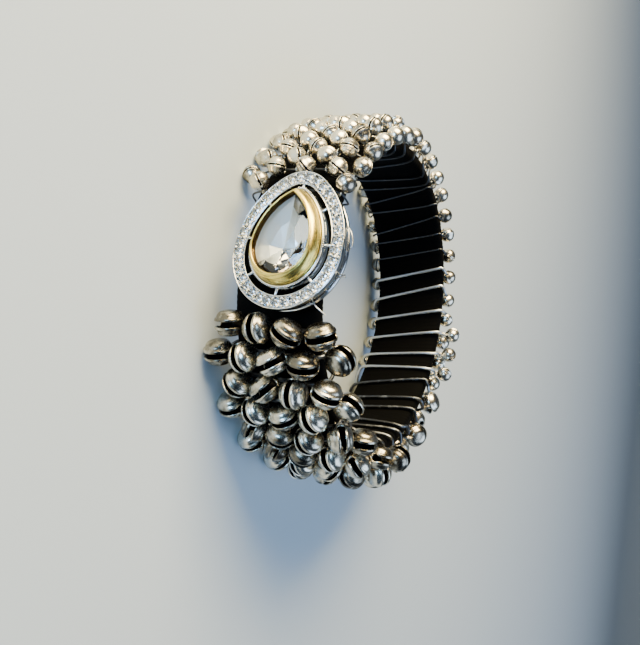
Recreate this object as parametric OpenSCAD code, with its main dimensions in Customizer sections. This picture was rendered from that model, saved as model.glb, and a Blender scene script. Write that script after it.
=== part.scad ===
// Bell bangle with a pear stone medallion, lying on its side.
// The ring axis is +Z, the medallion faces -Y, and z = 0 is the surface that the lowest bells rest on.
// Large bells fill the half towards +X, small bells the half towards -X.

/* [Band] */
// Inner radius of the wound band at its middle
band_r_in = 31; // [30:0.5:31]
// Thickness of the band at its middle
band_t = 4; // [3.6:0.1:4.2]
// Half of the band's width
band_half_w = 9; // [8.8:0.1:9]
// How square the band's cross-section is
band_squareness = 3.5; // [3:0.25:4]
// Height of the band's middle above the resting surface
mid_height = 13; // [13:0.1:13.4]

/* [Lashing wire] */
// Radius of the thick wire, through the large bells and the first small ones
wire_r_thick = 0.38; // [0.3:0.01:0.38]
// Radius of the thin wire
wire_r_thin = 0.2; // [0.18:0.01:0.3]
// Number of turns of small bells that the thick wire carries
thick_small_turns = 5; // [4:1:6]
// Distance of the wire's middle from the band's outer face
wire_lift = 0.95; // [0.95:0.01:1]
// Clear gap between the wire and the band's inner face
wire_gap = 0.1; // [0.1:0.01:0.15]

/* [Large bells] */
// Diameter of a large bell in the plane of its slot
large_d = 5.9; // [5.7:0.1:5.9]
// Width of a large bell across its slot
large_across = 4.9; // [4.6:0.1:5.2]
// Width of a large bell's slot
large_slot = 1.1; // [0.8:0.1:1.3]
// Wall of a large bell
large_wall = 0.35; // [0.3:0.05:0.4]
// Radius of the two balls that flatten a large bell's domes
large_dome = 6; // [4:0.5:7]
// Number of wire turns that carry large bells
large_turns = 16; // [15:1:16]
// Ring angle of the first turn of large bells
large_first = -64.5; // [-64.5:0.5:-64]
// Angle between two turns of large bells
large_step = 8.5; // [8.4:0.05:8.5]

/* [Small bells] */
// Diameter of a small bell
small_d = 3.8; // [3.5:0.1:3.8]
// Width of a small bell's slot
small_slot = 0.45; // [0.3:0.05:0.6]
// Wall of a small bell
small_wall = 0.25; // [0.2:0.05:0.3]
// Number of wire turns that carry small bells, the last one beside the medallion's narrow end
small_turns = 21; // [20:1:21]
// Number of these turns on the far side, where the bells stand less close
small_far_turns = 14; // [14:1:15]
// Ring angle of the first turn of small bells
small_first = 73.1; // [73.1:0.1:73.5]
// Angle between two turns of small bells
small_step = 8.93; // [8.9:0.01:8.93]
// Swing of the small bells to the two sides of their wire
small_zigzag = 36; // [33:1:37]

/* [Medallion] */
// Distance of the halo's face from the ring axis
halo_face = 38.5; // [38.3:0.1:39]
// Place of the medallion's round end along X
medal_x = 2.8; // [2.5:0.1:2.9]
// Place of the medallion's middle above the band's middle
medal_z = 3.85; // [3:0.05:4]
// Turn of the halo about its own middle
halo_turn = -2.8; // [-4:0.1:-2]
// Turn of the pear stone and its bezel
pear_turn = -4; // [-5:0.5:-3]
// Radius of the halo's round end
halo_round = 11.1; // [10.9:0.05:11.2]
// Radius of the halo's long sides
halo_side = 16.4; // [16:0.1:17]
// Radius of the halo's narrow end
halo_tip = 6.9; // [6.7:0.1:7]
// Width of the halo's ring
halo_w = 2.5; // [2.4:0.05:2.6]
// Number of round stones in the halo
halo_count = 36; // [34:1:36]
// Diameter of a round stone
halo_stone_d = 1.6; // [1.4:0.05:1.6]
// Radius of the bezel lip's round end
pear_round = 5.8; // [5.6:0.05:5.9]
// Radius of the bezel lip's long sides
pear_side = 11.6; // [11.4:0.1:11.8]
// Radius of the bezel lip's point
pear_tip = 0.5; // [0.45:0.05:0.6]
// Height of the gold lip above the halo's face
lip_height = 2.8; // [2.6:0.1:3]

/* [Hidden] */
$fn = 48;
eps = 0.01;

band_mid = band_r_in + band_t / 2;
band_r_out = band_r_in + band_t;

// The wire's path round the band: a squarer oval with its own reach outwards, inwards and sideways.
wire_n = 4;
wire_out = band_t / 2 + wire_lift;
wire_side = band_half_w + 0.95;
wire_sides = 6;
wire_stops = [-90, -83, -74, -65, -56, -47, -37, -26, -10, 10, 26, 37, 47, 56, 65, 74, 83, 90,
              105, 120, 150, 180, 210, 240, 255];
turns = large_turns + small_turns;

// Small wanderings of the hand-wound wire and the loosely strung bells.
wander = rands(-1, 1, 60, 11);
large_spin_rest = rands(0, 180, 100, 5);
large_sway = rands(-1.2, 1.2, 100, 8);
small_spin = rands(0, 180, 200, 21);
small_sway = rands(-2, 2, 200, 23);

// Slot directions of the bells on the first turns below the medallion.
// Columns: the bells of a turn from low to high Z; 0 lies along the band, 90 across it.
large_spin_seen = [
    [ 92,  10,  55, 100],
    [ 90,  20, 115,  80,  10],
    [ 40, 125,   0,  60],
    [ 90,  30,  95,  25,  10],
    [150,  70,  35, 160],
    [ 90, 140,  60,  15,  40],
    [100,  25, 110,   5],
    [ 90,  15, 120,  30,  10]];

// Columns: diameter, dome radius, width across the slot, slot, wall, radius of the eye's hole,
// radius of the eye.
large_bell = [large_d, large_dome, large_across, large_slot, large_wall, 0.5, 0.84];
small_bell = [small_d, small_d / 2, small_d, small_slot, small_wall, 0.47, 0.78];
eye_t = 0.5;
// Distance from the wire to a bell's middle
function shank_len(bell) = bell[0] / 2 + bell[5] + 0.05;
// Distance from a bell's middle to the edge of its lips
function lip_reach(bell) = sqrt(pow(bell[0] / 2, 2) - pow(bell[3] / 2, 2));

// Heights of the bells' middles above the band's middle. The lowest ones rest on the surface.
large_rest = lip_reach(large_bell) - mid_height;
small_rest = small_d / 2 - mid_height;
large_crowded_turns = 10;
large_crowded = [[-6.4, -0.4, 5.6, 11.5], [large_rest, -4, 2.2, 8.3, 13.35]];
large_sparse = [[-6.6, -0.3, 6.6], [large_rest, -3.4, 3, 9]];
small_crowded = [for (c = [0:7]) small_rest + 3.25 * c];
small_sparse = [small_rest, -7.2, -3.1, 1.3, 5.4, 8.9];

function signed_root(v, p) = sign(v) * pow(abs(v), p);

// The band's cross-section as [distance from the axis, height].
function band_point(t) = [
    band_mid + band_t / 2 * signed_root(cos(t), 2 / band_squareness),
    band_half_w * signed_root(sin(t), 2 / band_squareness)];

// Ring angle of each turn of wire. The close rows of small bells begin a little further on.
function turn_angle(k) =
    let (small = k - large_turns)
    small < 0 ? large_first + k * large_step :
    small_first + small * small_step + (small >= small_far_turns ? 2 : 0);
function turn_skew(k) = k < large_turns ? 0.6 * wander[k] - 0.5 : 0.5 * wander[k];
function turn_r(k) = k < large_turns + thick_small_turns ? wire_r_thick : wire_r_thin;

// Where the wire crosses the inner face after a turn. The first turn that is listed is cross_first.
// Columns: angle past the middle between the two turns, slant from edge to edge.
cross_first = 11;
cross_seen = [
    [-1.6,  3.0], [2.0, 8.0], [0.9,  7.0], [3.1, 9.0], [2.2,  3.5], [ 0.1, 5.0],
    [ 1.1,  7.0], [2.3, 8.0], [4.4, 10.0], [4.5, 9.0], [5.5,  7.5], [ 4.6, 7.0],
    [ 2.7, 12.0], [3.2, 6.0], [2.3, 12.0], [-0.7, 3.5], [-3.2, 2.0]];
function cross_at(k) =
    k >= cross_first && k < cross_first + len(cross_seen) ? cross_seen[k - cross_first] :
    [0, 7.5 + 2 * wander[k]];
function cross_angle(k, h) =
    let (next = k + 1 < turns ? turn_angle(k + 1) : turn_angle(k) + small_step)
    (turn_angle(k) + next) / 2 + cross_at(k)[0] - cross_at(k)[1] / 2 * h;

// Ring angle of the wire at stop t of turn k: it goes down over the bells' side from the edge at +Z
// and comes back up inside, leaning on.
function wire_angle(k, t) =
    let (h = signed_root(sin(t), 2 / wire_n))
    let (outside = turn_angle(k) + turn_skew(k) * h)
    t <= 90 ? outside :
    t == 105 ? (outside + cross_angle(k, h)) / 2 :
    t == 255 && k + 1 < turns ? (turn_angle(k + 1) + turn_skew(k + 1) * h + cross_angle(k, h)) / 2 :
    cross_angle(k, h);

function wire_reach(k, t) =
    (cos(t) > 0 ? wire_out : band_t / 2 + wire_gap + turn_r(k)) * signed_root(cos(t), 2 / wire_n);
function wire_height(t) = -wire_side * signed_root(sin(t), 2 / wire_n);

function ring_point(r, a, z) = [r * cos(a), r * sin(a), z];
function unit(v) = v / norm(v);

// The outer path's stop where the wire's outward direction has a lean.
function stop_for_lean(lean) =
    -sign(lean) * atan(pow(wire_side / wire_out * tan(abs(lean)), wire_n / (2 * wire_n - 2)));
function bell_height(lean, reach) = wire_height(stop_for_lean(lean)) + reach * sin(lean);
function lean_for(z, reach, low, high, n) =
    n == 0 ? (low + high) / 2 :
    let (mid = (low + high) / 2)
    bell_height(mid, reach) > abs(z) ? lean_for(z, reach, low, mid, n - 1)
                                     : lean_for(z, reach, mid, high, n - 1);

// Drop outline: a round end, two long sides and a narrow end, all arcs, at an offset w.
// A shape is [round end radius, side radius, narrow end radius].
halo_shape = [halo_round, halo_side, halo_tip];
pear_shape = [pear_round, pear_side, pear_tip];
function drop_reach(s) = sqrt(pow(s[1] - s[2], 2) - pow(s[1] - s[0], 2));
// Angle that a side's arc spans, and the narrow end's radius: inwards of it the sides meet in a point.
function side_span(s, w) =
    w > -s[2] ? asin(drop_reach(s) / (s[1] - s[2])) : acos((s[1] - s[0]) / (s[1] + w));
function tip_r(s, w) = max(s[2] + w, eps);
function arc_len(r, a) = r * a * PI / 180;
function drop_length(s, w) =
    arc_len(s[0] + w, 180) + 2 * arc_len(s[1] + w, side_span(s, w)) +
    arc_len(tip_r(s, w), 180 - 2 * side_span(s, w));

// A point of the outline and its outward direction, as [x, y, direction]. The walk starts at the
// narrow end, on -X, and goes round by +Y.
function drop_at(s, w, run) =
    let (half = drop_length(s, w) / 2)
    run > half ? let (p = drop_at(s, w, 2 * half - run)) [p[0], -p[1], -p[2]] :
    let (span = side_span(s, w), tip = arc_len(tip_r(s, w), 90 - span))
    let (side = arc_len(s[1] + w, span), end = (s[1] + w) * sin(span) - tip_r(s, w) * sin(span))
    run < tip ?
        let (a = 180 - run / tip_r(s, w) * 180 / PI)
        [-end + tip_r(s, w) * cos(a), tip_r(s, w) * sin(a), a] :
    run < tip + side ?
        let (a = 90 + span - (run - tip) / (s[1] + w) * 180 / PI)
        [(s[1] + w) * cos(a), (s[1] + w) * sin(a) - (s[1] - s[0]), a] :
        let (a = 90 - (run - tip - side) / (s[0] + w) * 180 / PI)
        [(s[0] + w) * cos(a), (s[0] + w) * sin(a), a];

function drop_points(s, w, n) =
    let (len = drop_length(s, w))
    [for (k = [0:n - 1]) let (p = drop_at(s, w, len * k / n)) [p[0], p[1]]];

// A closed ring or a closed cap of triangles from equal rings of points.
function ring_faces(rings, n, closed) = [
    for (i = [0:rings - (closed ? 1 : 2)], k = [0:n - 1])
        let (a = i * n, b = ((i + 1) % rings) * n, m = (k + 1) % n)
        each [[a + k, b + k, b + m], [a + k, b + m, a + m]]];

module band() {
    color("black")
        translate([0, 0, mid_height])
            rotate_extrude($fn = 96)
                polygon([for (t = [0:12:348]) band_point(t)]);
}

function wire_centre(i) =
    let (k = floor(i / len(wire_stops)), t = wire_stops[i % len(wire_stops)])
    ring_point(band_mid + wire_reach(k, t), wire_angle(k, t), mid_height + wire_height(t));
function wire_outward(i) =
    let (k = floor(i / len(wire_stops)), t = wire_stops[i % len(wire_stops)])
    unit(ring_point(band_mid + wire_reach(k, t), wire_angle(k, t), wire_height(t)) -
         ring_point(band_mid, wire_angle(k, t), 0));

module lashing_wire() {
    count = turns * len(wire_stops);
    last = count - 1;
    points = [
        for (i = [0:last])
            let (c = wire_centre(i))
            let (d = unit(wire_centre(min(i + 1, last)) - wire_centre(max(i - 1, 0))))
            let (s = unit(cross(d, wire_outward(i))), u = cross(s, d))
            let (r = turn_r(floor(i / len(wire_stops))))
            for (j = [0:wire_sides - 1])
                let (a = 360 * j / wire_sides)
                c + r * (u * cos(a) + s * sin(a))];
    first_cap = [[for (j = [0:wire_sides - 1]) j]];
    last_cap = [[for (j = [wire_sides - 1:-1:0]) last * wire_sides + j]];
    color("silver")
        polyhedron(points, concat(ring_faces(count, wire_sides, false), first_cap, last_cap));
}

// One ball, or its common part with the two balls that flatten the domes.
module clam(bell, inset) {
    off = bell[1] - bell[2] / 2;
    if (off < eps)
        sphere(bell[0] / 2 - inset);
    else
        intersection() {
            sphere(bell[0] / 2 - inset);
            translate([0, 0, off]) sphere(bell[1] - inset);
            translate([0, 0, -off]) sphere(bell[1] - inset);
        }
}

// The hollow body with its slot, which opens towards +X and ends in two round notches.
module bell_body(bell) {
    difference() {
        difference() {
            clam(bell, 0);
            clam(bell, bell[4]);
        }
        rotate([90, 0, 0])
            linear_extrude(2 * bell[0], center = true)
                union() {
                    translate([0, -bell[3] / 2]) square([bell[0], bell[3]]);
                    circle(bell[3] * 0.68);
                }
    }
}

// One bell on its eye. The wire passes the origin along Z and the bell's mouth looks along +X.
module bell(bell, spin) {
    $fn = 128;
    difference() {
        union() {
            translate([shank_len(bell), 0, 0])
                rotate([spin, 0, 0])
                    bell_body(bell);
            cylinder(r = bell[6], h = eye_t, center = true);
        }
        cylinder(r = bell[5], h = 3 * eye_t, center = true);
    }
}

// A bell hung on turn k, with its middle at height z above the band's middle.
module hung_bell(bell, k, z, spin, swing) {
    lean = sign(z) * lean_for(z, shank_len(bell) * cos(swing), 0, 89, 24);
    stop = stop_for_lean(lean);
    rotate([0, 0, turn_angle(k) - turn_skew(k) * wire_height(stop) / wire_side])
        translate([band_mid + wire_reach(k, stop), 0, mid_height + wire_height(stop)])
            rotate([0, -lean, 0])
                rotate([0, 0, swing])
                    bell(bell, spin);
}

function large_heights(k) = (k < large_crowded_turns ? large_crowded : large_sparse)[k % 2];
function resting(k, c) = k % 2 == 1 && c == 0;
function large_spin(k, c) =
    resting(k, c) ? 90 : k < len(large_spin_seen) ? large_spin_seen[k][c] : large_spin_rest[5 * k + c];
function large_swing(k, c) = resting(k, c) ? 0 : (c == 4 ? 5 : 0) + large_sway[5 * k + c];

module large_bells() {
    color("gainsboro")
        for (k = [0:large_turns - 1], c = [0:len(large_heights(k)) - 1])
            hung_bell(large_bell, k, large_heights(k)[c], large_spin(k, c), large_swing(k, c));
}

// Neighbours on a turn swing to opposite sides. Single bells stand beside that rule: three lie over
// the band's edge where the two kinds meet, and two at the other end swing away from the medallion.
// Columns: turn among the small bells' own, height above the band's middle, slot direction, swing.
single_bells = [[0, 12.1, 70, 12], [1, 12.1, 150, 14], [2, 12.1, 20, 10],
                [small_turns - 1, -6.6, 40, -12], [small_turns - 1, 10.9, 110, -25]];
function small_heights(k) = k < small_far_turns ? small_sparse : small_crowded;

module small_bells() {
    color("lightgray") {
        for (k = [0:small_turns - 2], c = [0:len(small_heights(k)) - 1])
            hung_bell(small_bell, large_turns + k, small_heights(k)[c], small_spin[8 * k + c],
                      (c % 2 == 0 ? 1 : -1) * small_zigzag + small_sway[8 * k + c]);
        for (b = single_bells)
            hung_bell(small_bell, large_turns + b[0], b[1], b[2], b[3]);
    }
}

// The medallion's own place: X along its length, Z outwards from the band, origin on the halo's face.
module at_medallion(turn) {
    translate([medal_x, -halo_face, mid_height + medal_z])
        rotate([90, 0, 0])
            rotate([0, 0, turn])
                children();
}

module drop_prism(shape, w, low, high, n) {
    translate([0, 0, low])
        linear_extrude(high - low)
            polygon(drop_points(shape, w, n));
}

module drop_ring(shape, outer, inner, low, high, n) {
    translate([0, 0, low])
        linear_extrude(high - low)
            difference() {
                polygon(drop_points(shape, outer, n));
                polygon(drop_points(shape, inner, n));
            }
}

rim_w = 0.3;
rim_h = 0.35;
plate_t = 1.1;
rail_drop = 2.6;
rail_t = 0.6;
rail_in = -0.35;
rail_w = 0.9;
post_r = 0.3;
post_count = 18;
spoke_count = 8;
spoke_r = 0.28;
collar_out = 1.7;
collar_in = 1.15;
collar_low = -1.2;
collar_high = 0.75;
outline_n = 72;
track = -halo_w / 2;
seat_depth = 0.85;

module halo_frame() {
    color("whitesmoke")
        at_medallion(halo_turn)
            difference() {
                union() {
                    drop_ring(halo_shape, 0, -halo_w, -plate_t, 0, outline_n);
                    drop_ring(halo_shape, 0, -rim_w, -eps, rim_h, outline_n);
                    drop_ring(halo_shape, rim_w - halo_w, -halo_w, -eps, rim_h, outline_n);
                    drop_ring(halo_shape, rail_in, rail_in - rail_w, -rail_drop - rail_t, -rail_drop,
                              outline_n);
                    halo_posts();
                    halo_spokes();
                    rotate([0, 0, pear_turn - halo_turn])
                        drop_prism(pear_shape, collar_out, collar_low, collar_high, outline_n);
                }
                rotate([0, 0, pear_turn - halo_turn])
                    drop_prism(pear_shape, collar_in, collar_low - 1, collar_high + 1, outline_n);
                stone_seats();
            }
}

module halo_posts() {
    run = drop_length(halo_shape, rail_in - rail_w / 2) / post_count;
    for (k = [0:post_count - 1])
        let (p = drop_at(halo_shape, rail_in - rail_w / 2, (k + 0.5) * run))
        translate([p[0], p[1], -rail_drop - eps])
            cylinder(r = post_r, h = rail_drop - plate_t + 2 * eps, $fn = 16);
}

module halo_spokes() {
    run = drop_length(halo_shape, -halo_w - 1) / spoke_count;
    for (k = [0:spoke_count - 1])
        let (p = drop_at(halo_shape, -halo_w - 1, k * run))
        translate([p[0], p[1], -spoke_r - 0.1])
            rotate([0, 0, p[2]])
                rotate([0, 90, 0])
                    cylinder(r = spoke_r, h = 3.2, center = true, $fn = 16);
}

module stone_seats() {
    run = drop_length(halo_shape, track) / halo_count;
    for (k = [0:halo_count - 1])
        let (p = drop_at(halo_shape, track, (k + 0.5) * run))
        translate([p[0], p[1], -seat_depth])
            cylinder(d = halo_stone_d + 0.2, h = seat_depth + 1, $fn = 24);
}

// A cut stone from its rings, top to bottom, and its point. Each ring runs clockwise from above.
module cut_stone(rings, point) {
    n = len(rings[0]);
    last = (len(rings) - 1) * n;
    sides = ring_faces(len(rings), n, false);
    table = [[for (k = [0:n - 1]) k]];
    pavilion = [for (k = [0:n - 1]) [last + k, last + n, last + (k + 1) % n]];
    polyhedron(concat([for (r = rings) each r], [point]), concat(sides, table, pavilion));
}

// A round stone: an eight-sided table, eight crown facets, a girdle and eight facets to the point.
module round_stone(d) {
    levels = [[0.28 * d, 0.16 * d], [0.5 * d, 0.02 * d], [0.5 * d, -0.03 * d]];
    cut_stone([for (l = levels) [for (k = [0:7]) [l[0] * cos(45 * k), -l[0] * sin(45 * k), l[1]]]],
              [0, 0, -0.42 * d]);
}

module halo_stones() {
    run = drop_length(halo_shape, track) / halo_count;
    color("aliceblue")
        at_medallion(halo_turn)
            for (k = [0:halo_count - 1])
                let (p = drop_at(halo_shape, track, (k + 0.5) * run))
                translate([p[0], p[1], 0])
                    rotate([0, 0, p[2]])
                        round_stone(halo_stone_d);
}

// The bezel's wall, as [offset from the lip's outline, height above the halo's face].
bezel_wall = [[0, lip_height], [0.5, lip_height - 0.7], [1.0, collar_high + 0.3], [1.05, collar_high - 0.6],
              [-0.2, collar_high - 0.6], [-0.9, lip_height - 1.9], [-0.55, lip_height - 1.3],
              [-0.5, lip_height - 0.8], [-0.3, lip_height - 0.05]];

module gold_bezel() {
    n = outline_n;
    rings = len(bezel_wall);
    color("gold")
        at_medallion(pear_turn)
            polyhedron(
                [for (w = bezel_wall) each [for (p = drop_points(pear_shape, w[0], n)) [p[0], p[1], w[1]]]],
                ring_faces(rings, n, true));
}

// The pear stone's rings, as [offset from the lip's outline, height below the lip].
pear_levels = [[-2.2, 0.3], [-0.65, 0.85], [-0.65, 1.0]];
pear_point = 3.2;
pear_n = 16;

module pear_stone() {
    color("azure")
        at_medallion(pear_turn)
            cut_stone(
                [for (l = pear_levels)
                    [for (p = drop_points(pear_shape, l[0], pear_n)) [p[0], p[1], lip_height - l[1]]]],
                [-0.6, 0, lip_height - pear_point]);
}

band();
lashing_wire();
large_bells();
small_bells();
halo_frame();
halo_stones();
gold_bezel();
pear_stone();
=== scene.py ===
"""A bell bangle dressed for the camera: wound black thread, silver lashing wire, polished slit
bells, and a medallion of white metal, gold and clear cut stones."""

from math import acos, asin, atan, atan2, copysign, cos, degrees, hypot, pi, radians, sin, sqrt, tan

import bmesh
import bpy
import numpy as np
from bpy.props import FloatProperty, IntProperty, PointerProperty, StringProperty
from bpy.types import Operator, Panel, PropertyGroup
from mathutils import Matrix, Vector


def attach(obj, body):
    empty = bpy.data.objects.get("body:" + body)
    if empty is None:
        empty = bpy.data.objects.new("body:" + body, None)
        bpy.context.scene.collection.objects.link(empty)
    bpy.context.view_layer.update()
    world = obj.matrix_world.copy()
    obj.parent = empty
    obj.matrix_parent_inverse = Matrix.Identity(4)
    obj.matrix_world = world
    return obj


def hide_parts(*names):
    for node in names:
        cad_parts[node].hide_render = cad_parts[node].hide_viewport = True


bl_info = {
    "name": "Bell Bangle",
    "version": (1, 0, 0),
    "blender": (4, 5, 0),
    "location": "View3D > Sidebar > Bangle",
    "description": "Builds the visible pieces of a bell bangle around its solids",
    "category": "Object",
}

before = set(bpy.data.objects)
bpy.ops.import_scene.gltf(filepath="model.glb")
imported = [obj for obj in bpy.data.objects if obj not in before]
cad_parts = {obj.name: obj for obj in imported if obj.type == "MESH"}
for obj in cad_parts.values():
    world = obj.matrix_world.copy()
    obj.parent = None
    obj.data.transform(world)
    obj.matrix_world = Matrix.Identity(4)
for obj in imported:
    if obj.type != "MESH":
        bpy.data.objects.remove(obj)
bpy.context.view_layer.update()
MM = 0.001
MIDDLE = Vector((0, 0, 13 * MM))


# Settings that a user would change

def length(name, description, millimetres):
    """A size kept in metres and shown as a distance."""
    return FloatProperty(name=name, description=description, default=millimetres * MM,
                         unit="LENGTH", precision=5)


def number(name, description, default):
    """A plain number, whole or not."""
    kind = IntProperty if isinstance(default, int) else FloatProperty
    return kind(name=name, description=description, default=default)


def shade(name, description, default):
    """An sRGB colour as hex digits."""
    return StringProperty(name=name, description=description, default=default)


class BandSettings(PropertyGroup):
    inner_radius: length("Inner radius", "Least inner radius of the wound band", 31)
    thickness: length("Thickness", "Thickness at the band's middle", 4)
    half_width: length("Half width", "Half of the band's width", 9)
    mid_height: length("Middle height", "Height of the band's middle above the floor", 13)
    squareness: number("Squareness", "How square the section is", 3.5)
    wraps: number("Wraps", "Number of thread wraps round the ring", 190)
    wrap_relief: length("Wrap relief", "Height of a wrap above the groove beside it", 0.09)
    colour: shade("Thread colour", "Colour of the black thread", "010204")


class WireSettings(PropertyGroup):
    thick: length("Thick wire", "Radius of the wire through the large and first small bells", 0.38)
    thin: length("Thin wire", "Radius of the wire through the other small bells", 0.2)
    lift: length("Lift", "Distance of the wire's middle from the band's outer face", 0.95)
    gap: length("Inner gap", "Clear gap at the band's inner face", 0.1)
    sides: number("Sides", "Faces round the wire", 10)
    colour: shade("Wire colour", "Colour of the silver wire", "CBD2DA")


class BellSettings(PropertyGroup):
    large: length("Large bell", "Diameter of a large bell", 5.9)
    large_across: length("Large bell, across", "Width of a large bell across its slot", 4.9)
    large_slot: length("Large slot", "Width of a large bell's slot", 1.1)
    small: length("Small bell", "Diameter of a small bell", 3.8)
    small_slot: length("Small slot", "Width of a small bell's slot", 0.34)
    colour: shade("Bell colour", "Colour of the polished plating", "E4DDCB")
    tarnish: shade("Tarnish colour", "Colour of the plating where it has dulled", "6C675C")


class MedallionSettings(PropertyGroup):
    face: length("Face distance", "Distance of the halo's face from the ring axis", 38.5)
    along: length("Place along X", "Place of the medallion's round end", 2.8)
    above: length("Place across", "Place of its middle above the band's middle", 3.85)
    halo_turn: number("Halo turn", "Turn of the halo in degrees", -2.8)
    pear_turn: number("Pear turn", "Turn of the pear stone in degrees", -4.0)
    stones: number("Halo stones", "Number of small stones", 36)
    stone: length("Halo stone", "Diameter of a small stone", 1.6)
    lip: length("Lip height", "Height of the gold lip above the halo's face", 2.8)
    white: shade("White metal", "Colour of the rhodium plate", "E3E6EA")
    gold: shade("Gold", "Colour of the gold bezel", "F4DC78")
    glass: shade("Stones", "Colour of the clear stones", "F4F8FC")


class StageSettings(PropertyGroup):
    floor: shade("Floor colour", "Colour of the plain floor", "BECBD6")
    key: number("Key light", "Power of the warm softbox in watts", 12.2)
    fill: number("Fill light", "Power of the cool softbox in watts", 1.2)
    top: number("Top light", "Power of the softbox overhead in watts", 7.6)


# Small helpers

def rgb(code):
    """Linear colour of an sRGB hex value."""
    parts = [int(code[i:i + 2], 16) / 255 for i in (0, 2, 4)]
    return tuple(c / 12.92 if c <= 0.04045 else ((c + 0.055) / 1.055) ** 2.4
                 for c in parts) + (1.0,)


def circle(count, shift=0.0):
    """Angles of even steps round a circle."""
    return [2 * pi * (i + shift) / count for i in range(count)]


def turned(angle, axis):
    """A turn in degrees about an axis through the origin."""
    return Matrix.Rotation(radians(angle), 4, axis)


def polar(r, a, z):
    """A point at radius r, angle a and height z."""
    return (r * cos(a), r * sin(a), z)


def signed_root(v, p):
    """The power p of a number's size, with the number's sign."""
    return copysign(abs(v) ** p, v)


def drawn(low, high, count, seed):
    """Evenly spread numbers, the same that the solids' rule draws from this seed."""
    raw = np.random.RandomState(seed).randint(0, 2 ** 32, 2 * count, dtype=np.uint32)[1::2]
    return [low + (high - low) * float(v) / 2 ** 32 for v in raw]


def new_object(name, data):
    """An object with this data, in the scene."""
    obj = bpy.data.objects.new(name, data)
    bpy.context.scene.collection.objects.link(obj)
    return obj


def new_mesh(name, points, edges, faces, attributes):
    """A mesh whose points carry attributes, given as {name: numbers or vectors}."""
    mesh = bpy.data.meshes.new(name)
    mesh.from_pydata([tuple(p) for p in points], edges, faces)
    for label, values in attributes.items():
        values = np.asarray(values, np.float32)
        kind, key = ("FLOAT", "value") if values.ndim == 1 else ("FLOAT_VECTOR", "vector")
        mesh.attributes.new(label, kind, "POINT").data.foreach_set(key, values.ravel())
    return mesh


def make_piece(name, points, faces, material=None, smooth=True, **attributes):
    """A mesh object at the origin, with doubles merged and faces turned outwards."""
    mesh = new_mesh(name, points, [], faces, attributes)
    work = bmesh.new()
    work.from_mesh(mesh)
    bmesh.ops.remove_doubles(work, verts=work.verts, dist=0.002 * MM)
    bmesh.ops.recalc_face_normals(work, faces=work.faces)
    work.to_mesh(mesh)
    work.free()
    mesh.polygons.foreach_set("use_smooth", [smooth] * len(mesh.polygons))
    if material:
        mesh.materials.append(material)
    return new_object(name, mesh)


def loft(rings, closed=False):
    """Points and faces of rings that are closed loops with the same count of points."""
    n, count = len(rings[0]), len(rings)
    faces = []
    for i in range(count if closed else count - 1):
        a, b = i * n, (i + 1) % count * n
        faces += [(a + k, b + k, b + (k + 1) % n, a + (k + 1) % n) for k in range(n)]
    return [p for ring in rings for p in ring], faces


def join_pieces(pieces, name):
    """Several mesh objects of one material as one."""
    work = bmesh.new()
    for obj in pieces:
        work.from_mesh(obj.data)
    mesh = pieces[0].data.copy()
    work.to_mesh(mesh)
    work.free()
    for obj in pieces:
        bpy.data.objects.remove(obj)
    return new_object(name, mesh)


def finish_piece(obj, slot, *replaced):
    """Every piece rides on the one body and may replace CAD nodes. The argument slot is not used.
    """
    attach(obj, "root")
    if replaced:
        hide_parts(*replaced)
    return {"FINISHED"}


# Nodes

def add_node(tree, kind, settings=None, to=None, **links):
    """Adds a node, sets its properties and sockets, and links what is given by socket name: a
    socket or a node's first output. The new node's first output may go on to a socket."""
    node = tree.nodes.new(kind)
    for key, value in (settings or {}).items():
        if isinstance(key, str) and hasattr(node, key):
            setattr(node, key, value)
        else:
            node.inputs[key].default_value = value
    for key, source in links.items():
        numbered = key[0] == "i" and key[1:].isdigit()
        target = node.inputs[int(key[1:]) if numbered else key.replace("_", " ")]
        tree.links.new(source.outputs[0] if hasattr(source, "outputs") else source, target)
    if to:
        tree.links.new(node.outputs[0], to)
    return node


def new_tree(name, **inputs):
    """A tree with geometry in and out, and named inputs of the given kinds."""
    tree = bpy.data.node_groups.new(name, "GeometryNodeTree")
    for way in ("INPUT", "OUTPUT"):
        tree.interface.new_socket("Geometry", in_out=way, socket_type="NodeSocketGeometry")
    for label, kind in inputs.items():
        tree.interface.new_socket(label, in_out="INPUT", socket_type="NodeSocket" + kind)
    return tree, tree.nodes.new("NodeGroupInput").outputs


def close_tree(tree, geometry, material):
    """Ends a tree in Realize Instances and Set Material."""
    real = add_node(tree, "GeometryNodeRealizeInstances", Geometry=geometry)
    painted = add_node(tree, "GeometryNodeSetMaterial", Geometry=real, Material=material)
    add_node(tree, "NodeGroupOutput", Geometry=painted)
    return tree


def tube_tree():
    """A round wire along a line of points, whose radius is the attribute wire_radius."""
    tree, given = new_tree("Wire along a path", Sides="Int", Material="Material")
    line = add_node(tree, "GeometryNodeMeshToCurve", Mesh=given["Geometry"])
    around = add_node(tree, "GeometryNodeCurvePrimitiveCircle", {"Radius": 1.0},
                      Resolution=given["Sides"])
    radius = add_node(tree, "GeometryNodeInputNamedAttribute",
                      {"data_type": "FLOAT", "Name": "wire_radius"})
    tube = add_node(tree, "GeometryNodeCurveToMesh", {"Fill Caps": True}, Curve=line,
                    Profile_Curve=around, Scale=radius)
    smooth = add_node(tree, "GeometryNodeSetShadeSmooth", Geometry=tube)
    return close_tree(tree, smooth, given["Material"])


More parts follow.
